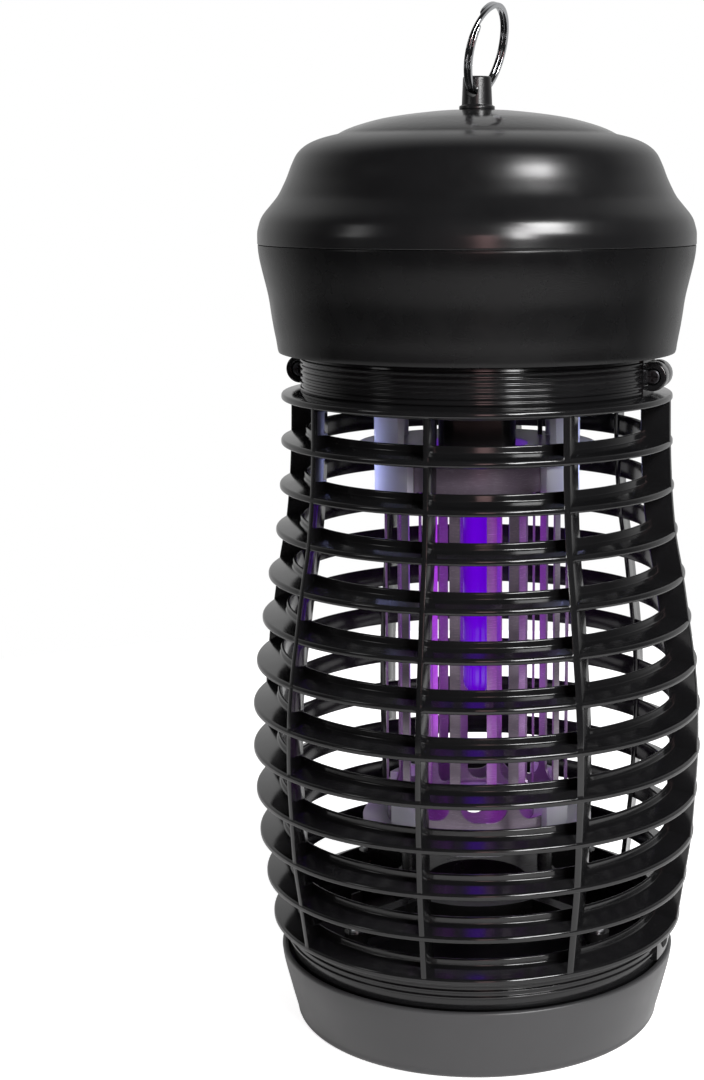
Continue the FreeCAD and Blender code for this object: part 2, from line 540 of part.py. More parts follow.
# spider that carries the lower insulator on two posts
SP_Z0, SP_Z1 = 41.2, 49.0
spider = [tube(18.6, 31.0, SP_Z0, SP_Z1)]
for az in ARM_AZ:
    spider.append(turned(box(-2.6, 2.6, -SPIDER_BOSS_R, -29.0, SP_Z0, SP_Z1), az))
    p = polar(SPIDER_BOSS_R, az)
    spider.append(cyl(4.2, SP_Z0, SP_Z0 + 3.4, p.x, p.y))
spider = fuse(spider)
cuts = []
for az in ARM_AZ:
    p = polar(SPIDER_BOSS_R, az)
    cuts.append(cyl(1.5, 30.0, 60.0, p.x, p.y))
    cuts.append(cyl(3.2, SP_Z0 + 3.4, 60.0, p.x, p.y))
for sx in (-1, 1):
    cuts.append(cyl(1.5, 30.0, 60.0, sx * POST_X, 0))
spider = spider.cut(Part.makeCompound(cuts)).removeSplitter()
save("bottom_spider", spider)
save("spider_screws", [screw(polar(SPIDER_BOSS_R, az, SP_Z0 + 3.4), V(0, 0, 1), 2.6, 1.8, 1.35, 11.0)
                       for az in ARM_AZ])
lower_posts = [cyl(POST_R, SP_Z1, POST_Z1, sx * POST_X, 0).cut(cyl(1.4, 40, 70, sx * POST_X, 0)) for sx in (-1, 1)]
save("insulator_posts", lower_posts)
save("post_screws", [screw(V(sx * POST_X, 0, SP_Z0), V(0, 0, -1), 2.6, 1.8, 1.35, 26.5) for sx in (-1, 1)])
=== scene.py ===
import bpy
import bmesh
import math
from mathutils import Vector, Matrix


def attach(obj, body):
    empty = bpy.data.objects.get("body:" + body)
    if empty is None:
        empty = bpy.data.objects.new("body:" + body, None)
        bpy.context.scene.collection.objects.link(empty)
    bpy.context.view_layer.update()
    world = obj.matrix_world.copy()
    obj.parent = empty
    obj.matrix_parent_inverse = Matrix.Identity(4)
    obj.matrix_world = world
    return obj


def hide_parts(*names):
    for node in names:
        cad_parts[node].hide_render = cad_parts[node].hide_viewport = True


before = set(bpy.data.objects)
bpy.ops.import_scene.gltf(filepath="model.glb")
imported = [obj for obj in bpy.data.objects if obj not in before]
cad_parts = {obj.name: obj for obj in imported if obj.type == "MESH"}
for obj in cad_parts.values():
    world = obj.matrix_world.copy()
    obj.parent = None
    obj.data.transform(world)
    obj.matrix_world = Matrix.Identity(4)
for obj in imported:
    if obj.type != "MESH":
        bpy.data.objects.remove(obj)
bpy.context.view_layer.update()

MM = 0.001
scene = bpy.context.scene
scene.view_settings.view_transform = "Standard"
scene.view_settings.look = "None"

# ---------------------------------------------------------------------------
# camera
# ---------------------------------------------------------------------------
cam_data = bpy.data.cameras.new("camera")
cam = bpy.data.objects.new("camera", cam_data)
scene.collection.objects.link(cam)
cam.location = (0.0, -0.68576, 0.30283)
cam.rotation_euler = (math.radians(90.0 - 10.362), 0.0, 0.0)
cam_data.sensor_width = 36.0
cam_data.lens = 63.856
cam_data.shift_x = -125.0 / 1080.0
cam_data.clip_start = 0.01
cam_data.clip_end = 100.0
scene.camera = cam

# ---------------------------------------------------------------------------
# dimensions of the visible mouldings, in millimetres, in the frame of the part
# ---------------------------------------------------------------------------
FIN_PITCH, FIN_TOP_Z = 16.0, 232.0
FIN_R = [69.9, 70.2, 71.0, 72.6, 75.6, 78.1, 80.5, 81.9, 82.2, 81.5, 80.5, 78.3, 76.0]
FIN_Z = [FIN_TOP_Z - FIN_PITCH * i for i in range(13)]
DRAW_AZ = -13.8
GAP = 0.1
RIB_AZ, RIB_T, RIB_W = 38.5, 2.0, 10.4


def spline(xs, ys, x):
    """monotone cubic through the points (xs rising)"""
    n = len(xs)
    if x <= xs[0]:
        return ys[0]
    if x >= xs[-1]:
        return ys[-1]
    d = [(ys[i + 1] - ys[i]) / (xs[i + 1] - xs[i]) for i in range(n - 1)]
    m = [d[0]] + [0.0 if d[i - 1] * d[i] <= 0 else 2 * d[i - 1] * d[i] / (d[i - 1] + d[i])
                  for i in range(1, n - 1)] + [d[-1]]
    i = max(k for k in range(n - 1) if xs[k] <= x)
    h = xs[i + 1] - xs[i]
    t = (x - xs[i]) / h
    return ((1 + 2 * t) * (1 - t) ** 2 * ys[i] + t * (1 - t) ** 2 * h * m[i]
            + t * t * (3 - 2 * t) * ys[i + 1] + t * t * (t - 1) * h * m[i + 1])


_bz, _br = FIN_Z[::-1], FIN_R[::-1]


def barrel_r(z):
    return spline(_bz, _br, z)


# ---------------------------------------------------------------------------
# mesh helpers
# ---------------------------------------------------------------------------
def rounded(points, radii, n=4):
    """closed outline with its corners turned to arcs"""
    out = []
    k = len(points)
    for i, p in enumerate(points):
        r = radii[i] if isinstance(radii, (list, tuple)) else radii
        if r <= 0:
            out.append(p)
            continue
        a, b = points[i - 1], points[(i + 1) % k]
        va = Vector((a[0] - p[0], a[1] - p[1]))
        vb = Vector((b[0] - p[0], b[1] - p[1]))
        la, lb = va.length, vb.length
        va.normalize()
        vb.normalize()
        ang = math.acos(max(-1.0, min(1.0, va.dot(vb))))
        if ang > math.radians(176):
            out.append(p)
            continue
        t = min(r / math.tan(ang / 2), 0.45 * la, 0.45 * lb)
        rr = t * math.tan(ang / 2)
        mid = (va + vb).normalized()
        c = Vector(p) + mid * (rr / math.sin(ang / 2))
        s = Vector(p) + va * t - c
        e = Vector(p) + vb * t - c
        a0 = math.atan2(s.y, s.x)
        a1 = math.atan2(e.y, e.x)
        d = (a1 - a0 + math.pi) % (2 * math.pi) - math.pi
        for j in range(n + 1):
            q = a0 + d * j / n
            out.append((c.x + rr * math.cos(q), c.y + rr * math.sin(q)))
    return out


def open_rounded(points, r, n=4):
    """open outline: only its inner corners are rounded"""
    radii = [0.0] + [r] * (len(points) - 2) + [0.0]
    return rounded(points, radii, n)


def new_object(name, bm, body=None, smooth=40.0):
    bmesh.ops.recalc_face_normals(bm, faces=bm.faces[:])
    me = bpy.data.meshes.new(name)
    bm.to_mesh(me)
    bm.free()
    ob = bpy.data.objects.new(name, me)
    scene.collection.objects.link(ob)
    me.shade_smooth()
    if smooth:
        set_sharp(me, smooth)
    if body:
        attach(ob, body)
    return ob


def set_sharp(me, angle):
    """edges sharper than the angle stay creased"""
    bm = bmesh.new()
    bm.from_mesh(me)
    lim = math.radians(angle)
    for e in bm.edges:
        if len(e.link_faces) == 2:
            e.smooth = e.calc_face_angle(0.0) < lim
        else:
            e.smooth = False
    bm.to_mesh(me)
    bm.free()


def lathe_into(bm, loop, a0=0.0, a1=360.0, segs=128, closed=True, axis="Z", at=(0, 0, 0)):
    """turn a closed outline of (r, h) in mm about an axis; a part turn gets end caps.
    Azimuth is measured from -Y towards +X, as seen from the front."""
    full = abs(a1 - a0) > 359.99
    steps = segs if full else segs + 1
    rings = []
    for i in range(steps):
        a = math.radians(a0 + (a1 - a0) * i / segs)
        s, c = math.sin(a), math.cos(a)
        ring = []
        for r, h in loop:
            if axis == "Z":
                p = (r * s, -r * c, h)
            elif axis == "Y":
                p = (r * s, h, -r * c)
            else:
                p = (h, r * s, -r * c)
            ring.append(bm.verts.new(((p[0] + at[0]) * MM, (p[1] + at[1]) * MM, (p[2] + at[2]) * MM)))
        rings.append(ring)
    n = len(loop)
    m = n if closed else n - 1
    faces = []
    for i in range(segs):
        ra, rb = rings[i], rings[(i + 1) % steps]
        for j in range(m):
            faces.append(bm.faces.new((ra[j], ra[(j + 1) % n], rb[(j + 1) % n], rb[j])))
    if not full and closed:
        bm.faces.new(rings[0])
        bm.faces.new(list(reversed(rings[-1])))
    return rings


def solid_lathe(name, loop, segs=192, body=None, smooth=40.0):
    """full turn of a closed outline; points on the axis are merged"""
    bm = bmesh.new()
    lathe_into(bm, loop, segs=segs)
    bmesh.ops.remove_doubles(bm, verts=bm.verts[:], dist=1e-7)
    bmesh.ops.dissolve_degenerate(bm, edges=bm.edges[:], dist=1e-8)
    return new_object(name, bm, body, smooth)


def loft_into(bm, sections):
    """closed sections of equal point counts joined in order, with end caps; points in mm"""
    rings = [[bm.verts.new((p[0] * MM, p[1] * MM, p[2] * MM)) for p in s] for s in sections]
    n = len(rings[0])
    for a, b in zip(rings, rings[1:]):
        for j in range(n):
            bm.faces.new((a[j], a[(j + 1) % n], b[(j + 1) % n], b[j]))
    bm.faces.new(rings[0])
    bm.faces.new(list(reversed(rings[-1])))


def bm_object(name, bm):
    bmesh.ops.recalc_face_normals(bm, faces=bm.faces[:])
    me = bpy.data.meshes.new(name)
    bm.to_mesh(me)
    bm.free()
    ob = bpy.data.objects.new(name, me)
    scene.collection.objects.link(ob)
    return ob


def boolean(target, other, op="UNION", solver="MANIFOLD"):
    mod = target.modifiers.new("b", "BOOLEAN")
    mod.operation = op
    mod.object = other
    mod.solver = solver
    dg = bpy.context.evaluated_depsgraph_get()
    me = bpy.data.meshes.new_from_object(target.evaluated_get(dg))
    target.modifiers.clear()
    old = target.data
    target.data = me
    bpy.data.meshes.remove(old)
    bpy.data.objects.remove(other)
    return target


def finish_mesh(ob, body, smooth=40.0):
    me = ob.data
    bm = bmesh.new()
    bm.from_mesh(me)
    bmesh.ops.remove_doubles(bm, verts=bm.verts[:], dist=2e-7)
    bmesh.ops.dissolve_degenerate(bm, edges=bm.edges[:], dist=1e-7)
    bmesh.ops.recalc_face_normals(bm, faces=bm.faces[:])
    bm.to_mesh(me)
    bm.free()
    me.shade_smooth()
    set_sharp(me, smooth)
    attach(ob, body)
    return ob


# ---------------------------------------------------------------------------
# materials
# ---------------------------------------------------------------------------
def nodes_of(name):
    m = bpy.data.materials.new(name)
    m.use_nodes = True
    nt = m.node_tree
    bsdf = nt.nodes["Principled BSDF"]
    return m, nt, bsdf


def add(nt, kind, **inputs):
    n = nt.nodes.new(kind)
    for k, v in inputs.items():
        if k in n.inputs:
            n.inputs[k].default_value = v
        else:
            setattr(n, k, v)
    return n


def noise(nt, scale, detail=3.0, rough=0.55, coord=None):
    n = nt.nodes.new("ShaderNodeTexNoise")
    n.inputs["Scale"].default_value = scale
    n.inputs["Detail"].default_value = detail
    n.inputs["Roughness"].default_value = rough
    nt.links.new(coord, n.inputs["Vector"])
    return n


def ramp(nt, src, lo, hi, a, b):
    """map range of a value"""
    m = nt.nodes.new("ShaderNodeMapRange")
    m.inputs["From Min"].default_value = lo
    m.inputs["From Max"].default_value = hi
    m.inputs["To Min"].default_value = a
    m.inputs["To Max"].default_value = b
    nt.links.new(src, m.inputs["Value"])
    return m


def mix_colour(nt, fac, a, b):
    m = nt.nodes.new("ShaderNodeMix")
    m.data_type = "RGBA"
    m.inputs[6].default_value = a
    m.inputs[7].default_value = b
    nt.links.new(fac, m.inputs[0])
    return m


def moulded(name, colour, rough, grain=0.0, grain_scale=2500.0, wave=0.0, dust=0.0,
            rough_var=0.05, tint=0.25, specular=0.5, worn=0.0):
    """injection-moulded plastic: fine tool texture, slight sink waviness, handling haze and a little dust"""
    m, nt, b = nodes_of(name)
    co = nt.nodes.new("ShaderNodeTexCoord").outputs["Object"]
    b.inputs["IOR"].default_value = 1.49
    b.inputs["Specular IOR Level"].default_value = specular
    n1 = noise(nt, 55.0, 4.0, 0.6, co)
    r = ramp(nt, n1.outputs["Fac"], 0.3, 0.7, rough - rough_var, rough + rough_var)
    c0 = tuple(x * (1 - tint) for x in colour) + (1.0,)
    c1 = tuple(min(1.0, x * (1 + tint)) for x in colour) + (1.0,)
    mc = mix_colour(nt, n1.outputs["Fac"], c0, c1)
    col = mc.outputs[2]
    rough_out = r.outputs[0]
    if dust > 0:
        n2 = noise(nt, 900.0, 5.0, 0.7, co)
        d = ramp(nt, n2.outputs["Fac"], 0.62, 0.75, 0.0, dust)
        geo = nt.nodes.new("ShaderNodeNewGeometry")
        sep = nt.nodes.new("ShaderNodeSeparateXYZ")
        nt.links.new(geo.outputs["Normal"], sep.inputs[0])
        upw = ramp(nt, sep.outputs["Z"], 0.2, 1.0, 0.15, 1.0)
        mul = nt.nodes.new("ShaderNodeMath")
        mul.operation = "MULTIPLY"
        nt.links.new(d.outputs[0], mul.inputs[0])
        nt.links.new(upw.outputs[0], mul.inputs[1])
        m2 = nt.nodes.new("ShaderNodeMix")
        m2.data_type = "RGBA"
        m2.inputs[7].default_value = (0.22, 0.21, 0.20, 1.0)
        nt.links.new(mul.outputs[0], m2.inputs[0])
        nt.links.new(col, m2.inputs[6])
        col = m2.outputs[2]
    nt.links.new(col, b.inputs["Base Color"])
    nt.links.new(rough_out, b.inputs["Roughness"])
    height = None
    if grain > 0:
        g = noise(nt, grain_scale, 2.0, 0.5, co)
        bump = nt.nodes.new("ShaderNodeBump")
        bump.inputs["Strength"].default_value = grain
        bump.inputs["Distance"].default_value = 0.00012
        nt.links.new(g.outputs["Fac"], bump.inputs["Height"])
        height = bump
    if wave > 0:
        w = noise(nt, 38.0, 2.0, 0.5, co)
        bump2 = nt.nodes.new("ShaderNodeBump")
        bump2.inputs["Strength"].default_value = wave
        bump2.inputs["Distance"].default_value = 0.0006
        nt.links.new(w.outputs["Fac"], bump2.inputs["Height"])
        if height:
            nt.links.new(height.outputs["Normal"], bump2.inputs["Normal"])
        height = bump2
    if height:
        nt.links.new(height.outputs["Normal"], b.inputs["Normal"])
    return m


def metal(name, colour, rough, brushed=0.0, spots=0.0, brush_dir=(1, 1, 40), metallic=1.0):
    m, nt, b = nodes_of(name)
    co = nt.nodes.new("ShaderNodeTexCoord").outputs["Object"]
    b.inputs["Metallic"].default_value = metallic
    mp = nt.nodes.new("ShaderNodeMapping")
    mp.inputs["Scale"].default_value = brush_dir
    nt.links.new(co, mp.inputs["Vector"])
    n1 = noise(nt, 260.0, 4.0, 0.6, mp.outputs["Vector"])
    n2 = noise(nt, 90.0, 4.0, 0.6, co)
    r = ramp(nt, n1.outputs["Fac"], 0.3, 0.7, max(0.02, rough * 0.75), rough * 1.35)
    c0 = tuple(x * (0.82 - 0.2 * spots) for x in colour) + (1.0,)
    c1 = tuple(colour) + (1.0,)
    mc = mix_colour(nt, n2.outputs["Fac"], c0, c1)
    nt.links.new(mc.outputs[2], b.inputs["Base Color"])
    nt.links.new(r.outputs[0], b.inputs["Roughness"])
    if brushed > 0:
        bump = nt.nodes.new("ShaderNodeBump")
        bump.inputs["Strength"].default_value = brushed
        bump.inputs["Distance"].default_value = 0.0001
        nt.links.new(n1.outputs["Fac"], bump.inputs["Height"])
        nt.links.new(bump.outputs["Normal"], b.inputs["Normal"])
    return m


def milky(name, colour, rough=0.35):
    """translucent insulating plastic"""
    m, nt, b = nodes_of(name)
    co = nt.nodes.new("ShaderNodeTexCoord").outputs["Object"]
    n1 = noise(nt, 70.0, 3.0, 0.5, co)
    mc = mix_colour(nt, n1.outputs["Fac"], tuple(x * 0.9 for x in colour) + (1.0,), tuple(colour) + (1.0,))
    nt.links.new(mc.outputs[2], b.inputs["Base Color"])
    r = ramp(nt, n1.outputs["Fac"], 0.3, 0.7, rough - 0.06, rough + 0.06)
    nt.links.new(r.outputs[0], b.inputs["Roughness"])
    b.inputs["Transmission Weight"].default_value = 0.35
    b.inputs["Subsurface Weight"].default_value = 0.5
    b.inputs["Subsurface Radius"].default_value = (1.0, 0.9, 1.0)
    b.inputs["Subsurface Scale"].default_value = 0.004
    b.inputs["IOR"].default_value = 1.47
    return m


def lit_lamp(name):
    """violet phosphor behind clear violet glass, a little brighter up its middle"""
    m, nt, b = nodes_of(name)
    co = nt.nodes.new("ShaderNodeTexCoord").outputs["Object"]
    n1 = noise(nt, 45.0, 3.0, 0.5, co)
    lw = nt.nodes.new("ShaderNodeLayerWeight")
    lw.inputs["Blend"].default_value = 0.55
    mc = nt.nodes.new("ShaderNodeMix")
    mc.data_type = "RGBA"
    mc.inputs[6].default_value = (0.105, 0.0, 0.56, 1.0)
    mc.inputs[7].default_value = (0.035, 0.0, 0.16, 1.0)
    nt.links.new(lw.outputs["Facing"], mc.inputs[0])
    lpn = nt.nodes.new("ShaderNodeLightPath")
    st = nt.nodes.new("ShaderNodeMapRange")
    st.inputs["To Min"].default_value = 2.4
    st.inputs["To Max"].default_value = 1.0
    nt.links.new(lpn.outputs["Is Camera Ray"], st.inputs["Value"])
    nt.links.new(st.outputs[0], b.inputs["Emission Strength"])
    nt.links.new(mc.outputs[2], b.inputs["Emission Color"])
    mb = mix_colour(nt, n1.outputs["Fac"], (0.03, 0.0, 0.12, 1.0), (0.05, 0.0, 0.18, 1.0))
    nt.links.new(mb.outputs[2], b.inputs["Base Color"])
    b.inputs["Roughness"].default_value = 0.12
    return m


CAGE = moulded("cage_plastic", (0.0075, 0.0075, 0.008), 0.135, grain=0.04, grain_scale=1500.0, wave=0.16,
               dust=0.10, rough_var=0.04)
COVER = moulded("cover_plastic", (0.0075, 0.0075, 0.008), 0.24, grain=0.05, grain_scale=1800.0, wave=0.04,
                dust=0.05, rough_var=0.03)
CROWN = moulded("cover_crown", (0.013, 0.013, 0.0135), 0.13, grain=0.50, grain_scale=700.0, wave=0.25, dust=0.18, specular=0.6)
SKIRT_M = moulded("head_plastic", (0.0045, 0.0045, 0.0048), 0.27, grain=0.20, grain_scale=2200.0, dust=0.04, specular=0.25)
TRAY_M = moulded("tray_plastic", (0.046, 0.046, 0.048), 0.36, grain=0.25, grain_scale=2600.0, dust=0.10, tint=0.10)
POST_M = moulded("post_plastic", (0.0085, 0.0085, 0.009), 0.28, grain=0.15, dust=0.08)
CHROME = metal("chrome", (0.62, 0.63, 0.65), 0.09)
STEEL = metal("zinc_steel", (0.55, 0.56, 0.58), 0.30, brushed=0.1)
BLACK_STEEL = metal("black_screw", (0.06, 0.06, 0.065), 0.35)
RUBBER = moulded("rubber", (0.014, 0.014, 0.014), 0.62, grain=0.5, grain_scale=1600.0, dust=0.2)
GRID = metal("grid_metal", (0.34, 0.28, 0.36), 0.22, brushed=0.15, spots=0.6, metallic=0.45)
MILKY = milky("insulator", (0.80, 0.80, 0.90))
SOCKET = moulded("socket", (0.004, 0.004, 0.0045), 0.22, grain=0.1)
SPIDER = moulded("spider", (0.012, 0.012, 0.0125), 0.26, grain=0.1, dust=0.25)
LAMP = lit_lamp("lamp_glass")
CAP_M = moulded("lamp_cap", (0.72, 0.72, 0.70), 0.35, grain=0.1, tint=0.05)
BRASS = metal("brass", (0.78, 0.58, 0.26), 0.25)
BOARD_M = moulded("board", (0.02, 0.11, 0.045), 0.30, grain=0.2, grain_scale=900.0, tint=0.3)
PART_M = moulded("component", (0.36, 0.06, 0.02), 0.22, tint=0.15)
DIODE_M = moulded("diode", (0.02, 0.02, 0.02), 0.3)
TERM_M = moulded("terminal", (0.03, 0.12, 0.30), 0.35, tint=0.1)
CORE_M = moulded("core", (0.10, 0.095, 0.09), 0.45, grain=0.5, grain_scale=500.0, tint=0.3)
WIND_M = moulded("winding", (0.55, 0.36, 0.07), 0.28, tint=0.15)
LEAD_M = moulded("lead", (0.02, 0.02, 0.022), 0.35, tint=0.1)


def glassy(name):
    m, nt, b = nodes_of(name)
    co = nt.nodes.new("ShaderNodeTexCoord").outputs["Object"]
    n1 = noise(nt, 120.0, 2.0, 0.5, co)
    mc = mix_colour(nt, n1.outputs["Fac"], (0.9, 0.95, 0.95, 1), (0.97, 1.0, 1.0, 1))
    nt.links.new(mc.outputs[2], b.inputs["Base Color"])
    b.inputs["Transmission Weight"].default_value = 0.95
    b.inputs["Roughness"].default_value = 0.05
    return m


FUSE_M = glassy("fuse_glass")


def dress(ob, mat):
    ob.data.materials.clear()
    ob.data.materials.append(mat)


cad_look = {
    "cage_screws": BLACK_STEEL, "collar_screws": STEEL, "cover_screws": BLACK_STEEL,
    "cord_gland": RUBBER, "hanger_washer": STEEL, "hanger_nut": STEEL, "circuit_board": BOARD_M,
    "board_screws": STEEL, "capacitors": PART_M, "diodes": DIODE_M, "fuse": FUSE_M, "fuse_clips": BRASS,
    "supply_terminal": TERM_M, "ballast_core": CORE_M, "ballast_coil": WIND_M, "lamp_socket": SOCKET,
    "socket_contacts": BRASS, "socket_screws": STEEL, "lamp_base": CAP_M, "lamp_pins": BRASS,
    "lamp_tubes": LAMP, "outer_grid": GRID, "inner_grid": GRID, "upper_insulator": MILKY,
    "lower_insulator": MILKY, "insulator_screws": STEEL, "grid_leads": LEAD_M, "bottom_spider": SPIDER,
    "spider_screws": STEEL, "insulator_posts": SPIDER, "post_screws": STEEL,
}
for node, mat in cad_look.items():
    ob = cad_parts[node]
    ob.data.materials.clear()
    ob.data.materials.append(mat)

# ---------------------------------------------------------------------------
# cage halves
# ---------------------------------------------------------------------------
FIN_W, FIN_EDGE, FIN_RISE, BEAD_W, BEAD_T, BEAD_B = 10.0, 2.2, 1.3, 1.2, 3.9, 3.7
FIN_LIP, FIN_WEB = 1.5, 1.8


def half_limits(r, front):
    d = math.degrees(math.asin(min(0.5, GAP / r)))
    return (-90.0 + d, 90.0 - d) if front else (90.0 + d, 270.0 - d)


def fin_loop(i):
    r, z = FIN_R[i], FIN_Z[i]
    q = r - FIN_W + BEAD_W
    slope = FIN_RISE / (FIN_W - BEAD_W)
    pts = [(r, z), (q, z + FIN_RISE), (q, z + BEAD_T), (r - FIN_W, z + BEAD_T),
           (r - FIN_W, z - BEAD_B), (q, z - BEAD_B), (q, z + FIN_RISE - FIN_WEB),
           (r - FIN_LIP, z + FIN_LIP * slope - FIN_WEB), (r - FIN_LIP, z - FIN_EDGE), (r, z - FIN_EDGE)]
    return rounded(pts, [1.0, 0.6, 0.55, 0.5, 0.4, 0.4, 0.5, 0.1, 0.2, 0.7], 5)


def rib_sections(az, front):
    s = math.sin(math.radians(az))
    sign = -1.0 if front else 1.0
    out = []
    zs = [38.6 + (FIN_Z[0] - 0.8 - 38.6) * k / 96 for k in range(97)]
    h, c = RIB_T / 2, 0.35
    for z in zs:
        R = barrel_r(z) - 0.12
        x0 = barrel_r(z) * s
        Ri = barrel_r(z) - RIB_W
        sec = []
        for dx, k in ((-h + c, 0), (-h + 0.1, c * 0.35), (-h, c)):
            sec.append((x0 + dx, sign * (math.sqrt(R * R - (x0 + dx) ** 2) - k)))
        for dx, k in ((-h, 0.25), (-h + 0.25, 0.0), (h - 0.25, 0.0), (h, 0.25)):
            sec.append((x0 + dx, sign * (math.sqrt(Ri * Ri - (x0 + dx) ** 2) + k)))
        for dx, k in ((h, c), (h - 0.1, c * 0.35), (h - c, 0)):
            sec.append((x0 + dx, sign * (math.sqrt(R * R - (x0 + dx) ** 2) - k)))
        out.append([(x, y, z) for x, y in sec])
    return out


def flange_sections(side, front):
    sign = -1.0 if front else 1.0
    out = []
    zs = [38.6 + (FIN_Z[0] - 0.8 - 38.6) * k / 96 for k in range(97)]
    for z in zs:
        R = barrel_r(z) - 0.05
        Ri = barrel_r(z) - RIB_W
        pts = [(Ri, GAP), (R - 0.2, GAP), (R, GAP + 0.2), (R - 0.1, 1.45), (R - 0.45, 1.8), (Ri + 0.3, 1.8), (Ri, 1.5)]
        out.append([(side * x, sign * y, z) for x, y in pts])
    return out


def build_cage(front):
    a_mid = 0.0 if front else 180.0
    sign = -1.0 if front else 1.0
    parts = []

    def put(fill):
        bm = bmesh.new()
        fill(bm)
        parts.append(bm_object("p", bm))

    for i in range(13):
        a0, a1 = half_limits(FIN_R[i] - 5, front)
        put(lambda bm, i=i, a0=a0, a1=a1: lathe_into(bm, fin_loop(i), a0, a1, 120))
    # upper collar with its fine ridges
    out = [(59.6, 230.7), (62.6, 230.7)]
    for z in [233.8 + 2.0 * k for k in range(6)]:
        out += [(62.6, z - 0.62), (63.15, z - 0.35), (63.15, z + 0.35), (62.6, z + 0.62)]
    out += [(62.6, 249.8), (59.6, 249.8)]
    a0, a1 = half_limits(61, front)
    put(lambda bm: lathe_into(bm, rounded(out, 0.18, 2), a0, a1, 120))
    # lower collar
    low = [(68.2, 38.6), (68.2, 30.0), (66.6, 28.6), (66.6, 25.3), (68.6, 25.3), (68.6, 27.0), (70.5, 27.0)]
    for z in (31.3, 33.5, 35.7):
        low += [(70.5, z - 0.62), (71.15, z - 0.35), (71.15, z + 0.35), (70.5, z + 0.62)]
    low += [(70.5, 38.6)]
    put(lambda bm: lathe_into(bm, rounded(low, 0.18, 2), a0, a1, 120))
    tongue = rounded([(66.6, 25.9), (66.6, 20.0), (68.6, 20.0), (68.6, 25.9)], [0, 0.4, 0.4, 0], 3)
    w = math.degrees(3.4 / 67.6)
    if front:
        sectors = [(a0, -w), (w, a1)]
    else:
        sectors = [(a0, 120 - w), (120 + w, 240 - w), (240 + w, a1)]
    for s0, s1 in sectors:
        put(lambda bm, s0=s0, s1=s1: lathe_into(bm, tongue, s0, s1, 48))
    for az in (0.0, RIB_AZ, -RIB_AZ):
        put(lambda bm, az=az: loft_into(bm, rib_sections(az, front)))
    for side in (-1, 1):
        put(lambda bm, side=side: loft_into(bm, flange_sections(side, front)))
        # plain pads beside the parting plane
        p0, p1 = sorted(((90 - 11.8) * side, (90 - 0.1) * side))
        if not front:
            p0, p1 = sorted((180 - (90 - 11.8) * side, 180 - (90 - 0.1) * side))
        pad_up = rounded([(60.0, 232.5), (63.45, 232.5), (63.45, 247.0), (60.0, 247.0)], [0, 0.5, 0.5, 0], 3)
        pad_lo = rounded([(68.4, 28.2), (72.2, 28.2), (72.2, 38.2), (68.4, 38.2)], [0, 0.5, 0.5, 0], 3)
        put(lambda bm, p0=p0, p1=p1, lp=pad_up: lathe_into(bm, lp, p0, p1, 16))
        put(lambda bm, p0=p0, p1=p1, lp=pad_lo: lathe_into(bm, lp, p0, p1, 16))
        for x, z, r in ((64.4, 239.0, 5.0), (68.6, 33.8, 4.6)):
            boss = rounded([(1.5, sign * GAP), (r, sign * GAP), (r, sign * 8.0), (3.0, sign * 8.0),
                            (3.0, sign * 6.0), (1.5, sign * 6.0)], [0, 0.2, 0.5, 0.25, 0, 0], 3)
            put(lambda bm, x=x, z=z, boss=boss, side=side: lathe_into(bm, boss, segs=40, axis="Y", at=(side * x, 0, z)))
    for az in (45, 135):
        for s in (-1, 1):
            a = az * s
            if (abs(a) < 90) != front:
                continue
            for R, z0, z1, turn in ((56.6, 236.0, 249.8, 0.0), (60.4, 29.5, 41.0, -DRAW_AZ)):
                ra = math.radians(a + turn)
                x, y = R * math.sin(ra), -R * math.cos(ra)
                lp = rounded([(1.45, z0 + 1.5), (1.45, z1), (4.0, z1), (4.0, z0), (0.0, z0), (0.0, z0 + 1.5)],
                             [0.2, 0.2, 0.3, 0.5, 0, 0], 2)
                lp = [(max(r, 0.001), z) for r, z in lp]
                put(lambda bm, lp=lp, x=x, y=y: lathe_into(bm, lp, segs=28, at=(x, y, 0)))
            # web from the spider boss to the collar
            t = 2.0
            c, s_ = math.cos(ra), math.sin(ra)
            def web(bm, c=c, s_=s_):
                secs = []
                for R in (62.4, 69.0):
                    sec = [(-t, 30.2), (t, 30.2), (t, 38.6), (-t, 38.6)]
                    secs.append([(R * s_ + u * c, -R * c + u * s_, z) for u, z in sec])
                loft_into(bm, secs)
            put(web)
    ob = parts[0]
    for p in parts[1:]:
        ob = boolean(ob, p)
    ob.name = "front_cage_moulding" if front else "rear_cage_moulding"
    ob.data.name = ob.name
    ob.data.transform(Matrix.Rotation(math.radians(DRAW_AZ), 4, "Z"))
    finish_mesh(ob, "housing", 38.0)
    return ob


for front, node in ((True, "front_cage"), (False, "rear_cage")):
    cage = build_cage(front)
    dress(cage, CAGE)
    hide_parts(node)

# ---------------------------------------------------------------------------
# head
# ---------------------------------------------------------------------------
SKIRT = [(70.7, 246.4), (71.3, 250.6), (72.1, 254.8), (72.9, 260.0), (73.6, 265.2),
         (74.6, 269.9), (75.7, 274.5), (76.6, 278.6), (77.1, 281.9), (77.2, 283.9)]
DOME = [(77.3, 284.1), (77.3, 288.1), (76.8, 290.2), (76.2, 292.3), (75.1, 294.3),
        (73.4, 296.4), (71.7, 298.4), (70.0, 300.5), (68.8, 302.6), (67.8, 304.6),
        (66.8, 306.7), (66.0, 308.7), (65.2, 310.8), (64.3, 312.8), (63.2, 314.9),
        (61.4, 316.9), (58.4, 318.9), (54.0, 320.6), (48.8, 321.9), (46.6, 323.1),
        (40.9, 325.2), (32.3, 327.4), (20.0, 329.2), (10.0, 330.1), (3.2, 330.3)]


